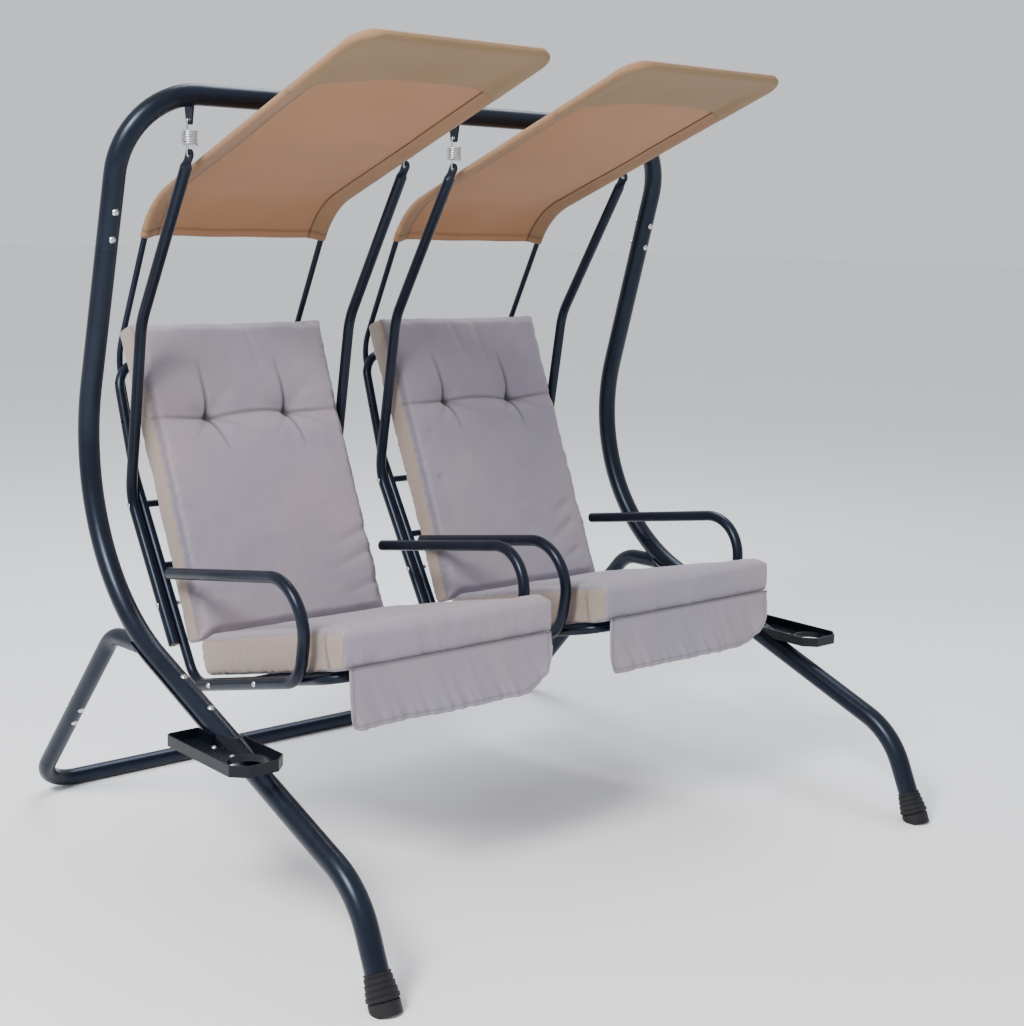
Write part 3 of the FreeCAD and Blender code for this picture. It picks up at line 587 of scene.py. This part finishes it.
def edge_gather(points, facing, seed):
    """Small puckers next to the seams between the face and the side panels."""
    near = bell(np.abs(facing[:, 0]) - 0.62, 0.28)
    ripple = fractal(points * np.array([0.4, 1.0, 1.0]), 55.0, seed)
    swell = fractal(points, 9.0, seed + 4)
    return points + facing * (0.0024 * near * ripple + 0.0022 * swell)[:, None]


def panel_seam_shade(facing):
    """Painted shade along the sewn line between a cushion's face and its side panels."""
    return 0.45 * bell(np.abs(facing[:, 0]) - 0.70, 0.10)


def back_finish(points, facing, seed):
    points, line = tufted(points, facing, seed)
    # painted shade along the panel seams joins the tuft lines
    return edge_gather(points, facing, seed), np.clip(line + panel_seam_shade(facing), 0.0, 1.0)


def seat_finish(points, facing, seed):
    """Sinks the seam between the seat's body and its front roll, gathers the roll's edges, and paints shade
    into the seams.
    """
    ahead = (points[:, 1] - SEAT_FRONT_TOP[0]) * SEAT_WAY.x + (points[:, 2] - SEAT_FRONT_TOP[1]) * SEAT_WAY.y
    upward = facing[:, 1] * SEAT_UP.x + facing[:, 2] * SEAT_UP.y
    wander = 0.003 * np.sin(points[:, 0] * 25.0 + seed)
    line = bell(ahead + 0.004 - wander, 0.006)
    skin = np.clip(np.maximum(upward, np.abs(facing[:, 0])), 0.0, 1.0)
    pull = fractal(points * np.array([1.0, 0.25, 0.25]), 30.0, seed + 2.0) * bell(ahead - 0.02, 0.05)
    points = points - facing * (0.0060 * line * skin - 0.0022 * pull)[:, None]
    # painted shade in the sunk seam to the roll and along the panel seams
    fold = 0.55 * line * skin + 0.6 * panel_seam_shade(facing)
    return edge_gather(points, facing, seed), np.clip(fold, 0.0, 1.0)


def finished_cushion(name, source, centre, shaping, seed, body, node):
    """A chair's own copy of a swollen shape, shaped, placed and declared."""
    obj = bpy.data.objects.new(name, source.data.copy())
    bpy.context.scene.collection.objects.link(obj)
    points = coordinates(obj)
    facing = normals(obj)
    points, fold = shaping(points, facing, seed)
    set_attribute(obj, "fold", fold)
    points[:, 0] += centre
    set_coordinates(obj, points)
    paint(obj, "cushion_fabric")
    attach(obj, body)
    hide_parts(node)
    return obj


# ---------------------------------------------------------------- roofs
def rounded_route(corners, radius, step):
    """Points along two straight runs joined by a tangent arc, as (Y, Z), with the way there."""
    start, corner, end = [Vector(c) for c in corners]
    back = (start - corner).normalized()
    ahead = (end - corner).normalized()
    half = back.angle(ahead) / 2.0
    reach = radius / math.tan(half)
    first, last = corner + back * reach, corner + ahead * reach
    centre = corner + (back + ahead).normalized() * (radius / math.sin(half))
    turn = math.pi - 2.0 * half
    lengths = [(first - start).length, radius * turn, (end - last).length]
    spin = 1.0 if back.cross(ahead) > 0 else -1.0
    route = []
    total = sum(lengths)
    count = int(total / step) + 1
    for i in range(count + 1):
        s = total * i / count
        if s < lengths[0]:
            route.append((start - back * s, -back))
        elif s < lengths[0] + lengths[1]:
            angle = -spin * (s - lengths[0]) / radius
            arm = first - centre
            arm.rotate(Matrix.Rotation(angle, 2))
            way = -back.copy()
            way.rotate(Matrix.Rotation(angle, 2))
            route.append((centre + arm, way))
        else:
            route.append((last + ahead * (s - lengths[0] - lengths[1]), ahead.copy()))
    return route, total


def roof_route():
    roof = (Vector(ROOF_SHOULDER) - Vector(ROOF_FRONT)).normalized()
    down = (Vector(ROOF_KNEE) - Vector(ROOF_SHOULDER)).normalized()
    front = Vector(ROOF_FRONT) - roof * ROOF_FRONT_REACH
    hem = Vector(ROOF_SHOULDER) + down * ROOF_HEM_DROP
    return rounded_route([front, Vector(ROOF_SHOULDER), hem], ROOF_BEND, 0.006)


def roof_half(s):
    """Half the roof's width at distance s from its front edge."""
    if s >= ROOF_CORNER:
        return ROOF_HALF
    return ROOF_HALF - ROOF_CORNER + math.sqrt(ROOF_CORNER ** 2 - (ROOF_CORNER - s) ** 2)


def quarter_round(edge, wrap):
    """Share of its full height that cloth reaches at distance edge from a rounded edge of size wrap."""
    if edge >= wrap:
        return 1.0
    return math.sqrt(max(0.0, 1.0 - ((wrap - edge) / wrap) ** 2))


def roof_point(centre, x, place, way, lift):
    """The point at x across the roof, lift above the route's point at place."""
    up = (-way.y, way.x) if way.x >= 0 else (way.y, -way.x)
    return (centre + x, place.x + up[0] * lift, place.y + up[1] * lift)


def roof_lift(x, s, total):
    """Height of the top cloth over the tube's centre plane."""
    wrap = ROOF_HALF - ROOF_TUBE_X
    rest = ROOF_TUBE_R + ROOF_REST
    rise = quarter_round(min(roof_half(s) - abs(x), s), wrap)
    span = max(0.0, 1.0 - (x / ROOF_TUBE_X) ** 2)
    along = math.sin(math.pi * min(1.0, s / total * 0.9 + 0.1)) * 0.75 + 0.25
    free = smooth_step((s - ROOF_FRONT_REACH - ROOF_TUBE_R) / 0.13)
    sag = ROOF_SAG * span * along * free
    ripple = 0.0016 * math.sin(x * 31.0 + 4.0 * math.sin(s * 7.0)) * span * free
    return rest * rise - sag * rise + ripple * rise


def pocket_depth(u):
    """How far back the front pocket's seam lies at u, from -1 to 1 across the roof."""
    return ROOF_POCKET * (1.0 - 0.30 * (1.0 - u * u)) * (1.0 - 0.10 * u)


def roof_sheet(name, centre):
    """Top cloth that wraps the side tubes and comes back under them as a sewn pocket, with painted shade
    along its seams.
    """
    route, total = roof_route()
    wrap = ROOF_HALF - ROOF_TUBE_X
    rest = ROOF_TUBE_R + ROOF_REST
    points = []
    painted_seam_shade = []
    for i, (place, way) in enumerate(route):
        s = total * i / (len(route) - 1)
        half = roof_half(s)
        tube = half - wrap
        inner = half - ROOF_BAND
        squeeze = quarter_round(s, wrap)
        under = []
        for k in range(7):
            x = inner + (tube - inner) * k / 6.0
            share = smooth_step(k / 6.0)
            high = roof_lift(x, s, total) - 0.0022
            under.append((x, high + (-rest * squeeze - high) * share))
        for k in range(1, 8):
            angle = -math.pi / 2.0 + math.pi / 2.0 * k / 8.0
            under.append((tube + wrap * math.cos(angle), rest * squeeze * math.sin(angle)))
        top = []
        for k in range(45):
            u = math.sin(math.pi / 2.0 * (k / 22.0 - 1.0))
            u = 0.35 * u + 0.65 * (k / 22.0 - 1.0)
            x = half * u
            top.append((x, roof_lift(x, s, total)))
        row = [(-x, z) for x, z in under] + top + [(x, z) for x, z in under[::-1]]
        for x, z in row:
            # painted shade along the rear hem's stitching, the side pocket seams and the front pocket's seam
            seam = bell(total - s - ROOF_HEM, 0.003) + bell(half - abs(x) - ROOF_BAND, 0.0025)
            seam += bell(s - pocket_depth(x / half), 0.003)
            painted_seam_shade.append(min(1.0, 0.5 * seam))
        points += [roof_point(centre, x, place, way, z) for x, z in row]
    sheet = mesh_object(name, points, grid_faces(len(route), len(row)))
    set_attribute(sheet, "fold", painted_seam_shade)
    return sheet, total


def pocket_sheet(name, centre):
    """The front pocket: cloth that comes back under the front tube to a curved seam."""
    route, total = roof_route()
    wrap = ROOF_FRONT_REACH
    rest = ROOF_TUBE_R + POCKET_REST
    rows, columns = 40, 61
    points = []
    for i in range(rows):
        share = i / (rows - 1)
        for j in range(columns):
            u = 2.0 * j / (columns - 1) - 1.0
            depth = pocket_depth(u)
            s = depth * share ** 1.6
            half = roof_half(s) - 0.0006
            x = half * u
            index = s / total * (len(route) - 1)
            low = min(int(index), len(route) - 2)
            mix = index - low
            place = route[low][0].lerp(route[low + 1][0], mix)
            way = route[low][1]
            gap = roof_half(s) - abs(x)
            under = -rest * quarter_round(min(gap, s), wrap)
            top = roof_lift(x, s, total) - 0.0030
            fall = smooth_step((s - wrap) / max(1e-6, depth - wrap)) ** 0.7
            lift = under * (1.0 - fall) + top * fall if s > wrap else under
            side = smooth_step((ROOF_BAND + 0.01 - gap) / 0.03)
            lift = lift * (1.0 - side) + min(lift, under) * side
            points.append(roof_point(centre, x, place, way, lift))
    return mesh_object(name, points, grid_faces(rows, columns))


def build_roof(side, centre, body):
    sheet, length = roof_sheet(side + "_roof_cloth", centre)
    set_attribute(sheet, "panel", np.zeros(len(sheet.data.vertices)))
    thicken(sheet, 0.0012)
    paint(sheet, "canopy_fabric")
    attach(sheet, body)
    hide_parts(side + "_chair_canopy_cover")
    pocket = pocket_sheet(side + "_roof_pocket", centre)
    # painted shade: the pocket takes the roof cloth's darker panel colour for its doubled layer
    set_attribute(pocket, "panel", np.full(len(pocket.data.vertices), 1.0))
    thicken(pocket, 0.0010)
    paint(pocket, "canopy_fabric")
    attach(pocket, body)


# ---------------------------------------------------------------- front flaps
def flap_drop(x):
    """How far the flap hangs down at x. Its two lower corners are rounded unlike each other."""
    corner = FLAP_CORNERS[1] if x > 0 else FLAP_CORNERS[0]
    gap = FLAP_HALF - abs(x)
    if gap >= corner:
        return FLAP_DROP
    return FLAP_DROP - corner + math.sqrt(max(0.0, corner ** 2 - (corner - gap) ** 2))


def flap_sheet(name, centre, seed):
    """A hanging flap with soft slanting folds and a puckered hem, with painted shade along a stitched line
    near its edge and along its top.
    """
    rows, columns = 46, 131
    points = []
    painted_seam_shade = []
    for i in range(rows):
        v = i / (rows - 1)
        for j in range(columns):
            x = FLAP_HALF * (2.0 * j / (columns - 1) - 1.0)
            drop = flap_drop(x)
            down = drop * v
            slant = x - down * 0.45
            fold = noise.fractal(Vector((slant * 13.0, down * 2.5, seed)), 1.0, 2.0, 2) * 0.0100 * v
            hem = math.exp(-((drop - down) / 0.026) ** 2)
            crimp = noise.noise(Vector((slant * 62.0, down * 9.0, seed + 2.0))) * 0.0062
            crimp += noise.noise(Vector((slant * 34.0, down * 5.0, seed + 5.0))) * 0.0034 * (1.0 - hem)
            wave = fold + crimp * (0.20 + 0.80 * hem) * min(1.0, v * 3.0)
            hang = 0.004 + 0.010 * v * v
            points.append((centre + x, FLAP_TOP[0] - hang + wave, FLAP_TOP[1] - down))
            edge = min(drop - down, FLAP_HALF - abs(x))
            # painted shade: a darker line along the stitching near the edge, and under the roll along the
            # flap's top
            stitch_shade = 0.45 * math.exp(-((edge - 0.009) / 0.0020) ** 2)
            painted_seam_shade.append(min(1.0, stitch_shade + 0.8 * math.exp(-(down / 0.004) ** 2)))
    flap = mesh_object(name, points, grid_faces(rows, columns))
    set_attribute(flap, "fold", painted_seam_shade)
    return flap


def build_flap(side, centre, body, seed):
    flap = flap_sheet(side + "_flap_cloth", centre, seed)
    set_attribute(flap, "panel", np.zeros(len(flap.data.vertices)))
    thicken(flap, 0.0022)
    paint(flap, "cushion_fabric")
    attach(flap, body)
    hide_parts(side + "_chair_front_flap")


# ---------------------------------------------------------------- springs
def spring_route():
    """Centreline of one spring around the vertical axis, from the lower hook's tip to the upper's."""
    middle = (SPRING_TOP_Z + SPRING_LOW_Z) / 2.0
    half = COIL_PITCH * COIL_TURNS / 2.0
    loop_z = SPRING_TOP_Z + HOLE_R - WIRE_R - 0.0002 - LOOP_R - middle
    lead = 0.003
    upper = []
    wide = (COIL_R + LOOP_R) / 2.0
    for k in range(13):
        angle = math.pi * k / 12.0
        upper.append(Vector((COIL_R - wide + wide * math.cos(angle), lead + wide * math.sin(angle), half)))
    for k in range(1, 6):
        angle = math.pi / 2.0 * k / 5.0
        upper.append(Vector((-LOOP_R, lead * (1.0 - math.sin(angle)), half + lead * (1.0 - math.cos(angle)))))
    for k in range(17):
        angle = math.pi - math.pi * k / 16.0
        upper.append(Vector((LOOP_R * math.cos(angle), 0.0, loop_z + LOOP_R * math.sin(angle))))
    upper.append(Vector((LOOP_R, 0.0, loop_z - 0.002)))
    lower = [Vector((p.x, -p.y, -p.z)) for p in upper][::-1]
    coil = []
    for k in range(COIL_TURNS * 24 + 1):
        turns = k / 24.0
        angle = 2.0 * math.pi * turns
        coil.append(Vector((COIL_R * math.cos(angle), COIL_R * math.sin(angle), COIL_PITCH * turns - half)))
    return [Vector((p.x, p.y, p.z + middle)) for p in lower + coil + upper]


def wire_mesh(name, routes, radius, sides=10):
    """Round wires along routes, with closed ends, as one mesh."""
    points, faces = [], []
    for route in routes:
        base = len(points)
        way = (route[1] - route[0]).normalized()
        side = way.orthogonal().normalized()
        for i, place in enumerate(route):
            ahead = route[min(i + 1, len(route) - 1)] - route[max(i - 1, 0)]
            ahead.normalize()
            side = (side - ahead * side.dot(ahead)).normalized()
            other = ahead.cross(side)
            for k in range(sides):
                angle = 2.0 * math.pi * k / sides
                points.append(place + side * (radius * math.cos(angle)) + other * (radius * math.sin(angle)))
        for i in range(len(route) - 1):
            for k in range(sides):
                a, b = base + i * sides + k, base + i * sides + (k + 1) % sides
                faces.append((a, b, b + sides, a + sides))
        faces.append(tuple(base + k for k in range(sides))[::-1])
        faces.append(tuple(base + (len(route) - 1) * sides + k for k in range(sides)))
    return mesh_object(name, points, faces)


def build_springs(side, centre):
    routes = []
    for offset in (-HANGER_X, HANGER_X):
        routes.append([Vector((centre + offset + p.x, SPRING_Y + p.y, p.z)) for p in spring_route()])
    springs = wire_mesh(side + "_spring_wire", routes, WIRE_R)
    paint(springs, "zinc")
    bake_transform(springs)
    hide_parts(side + "_chair_springs")


# ---------------------------------------------------------------- carried-over CAD nodes
def paint_frame():
    slots = {part["node"]: part["material_slot"] for part in frame["record"]["subparts"]}
    for name, obj in frame["nodes"].items():
        paint(obj, slots[name])


# ---------------------------------------------------------------- stage
FLOOR_HALF = 60.0


def build_stage():
    corners = [(-FLOOR_HALF, -FLOOR_HALF, 0), (FLOOR_HALF, -FLOOR_HALF, 0),
               (FLOOR_HALF, FLOOR_HALF, 0), (-FLOOR_HALF, FLOOR_HALF, 0)]
    floor = mesh_object("floor", corners, [(0, 1, 2, 3)])
    material, _, shader = start_material("floor")
    shader.inputs["Base Color"].default_value = (0.95, 0.95, 0.955, 1.0)
    shader.inputs["Roughness"].default_value = 0.85
    floor.data.materials.append(material)
    world = bpy.data.worlds.new("studio")
    world.use_nodes = True
    background = world.node_tree.nodes["Background"]
    background.inputs["Color"].default_value = (0.92, 0.95, 1.0, 1.0)
    background.inputs["Strength"].default_value = 0.85
    bpy.context.scene.world = world


def area_light(name, place, target, size, power, colour):
    light = bpy.data.lights.new(name, "AREA")
    light.energy = power
    light.size = size
    light.color = colour
    obj = bpy.data.objects.new(name, light)
    obj.location = place
    obj.rotation_euler = (Vector(target) - Vector(place)).to_track_quat("-Z", "Y").to_euler()
    bpy.context.scene.collection.objects.link(obj)


def build_lights():
    area_light("key", (-3.4, -1.2, 3.6), (0.0, 0.0, 0.8), 1.3, 260.0, (1.0, 0.99, 0.97))
    area_light("sky", (1.6, 1.6, 4.6), (0.0, 0.2, 1.0), 2.6, 150.0, (0.84, 0.91, 1.0))


def build_camera():
    data = bpy.data.cameras.new("camera")
    data.sensor_fit = "HORIZONTAL"
    data.sensor_width = 36.0
    data.lens = 57.6
    camera = bpy.data.objects.new("camera", data)
    right = Vector((0.75852, -0.65114, 0.02552))
    look = Vector((0.64476, 0.74425, -0.17430))
    look.normalize()
    right = (right - look * right.dot(look)).normalized()
    up = right.cross(look)
    turn = Matrix((right, up, -look)).transposed()
    camera.matrix_world = Matrix.Translation(Vector((-2.3423, -2.8065, 1.3473))) @ turn.to_4x4()
    bpy.context.scene.collection.objects.link(camera)
    bpy.context.scene.camera = camera


# ---------------------------------------------------------------- build
paint_frame()
back = back_shape()
seat = seat_shape()
for side, centre in CHAIRS.items():
    chair = side + "_chair"
    seed = 1.0 if side == "left" else 2.4
    finished_cushion(side + "_back_cushion_soft", back, centre, back_finish, seed, chair,
                     chair + "_back_cushion")
    finished_cushion(side + "_seat_cushion_soft", seat, centre, seat_finish, seed + 7.0, chair,
                     chair + "_seat_cushion")
    build_roof(side, centre, chair)
    build_flap(side, centre, chair, seed)
    build_springs(side, centre)
bpy.data.objects.remove(back)
bpy.data.objects.remove(seat)
build_stage()
build_lights()
build_camera()
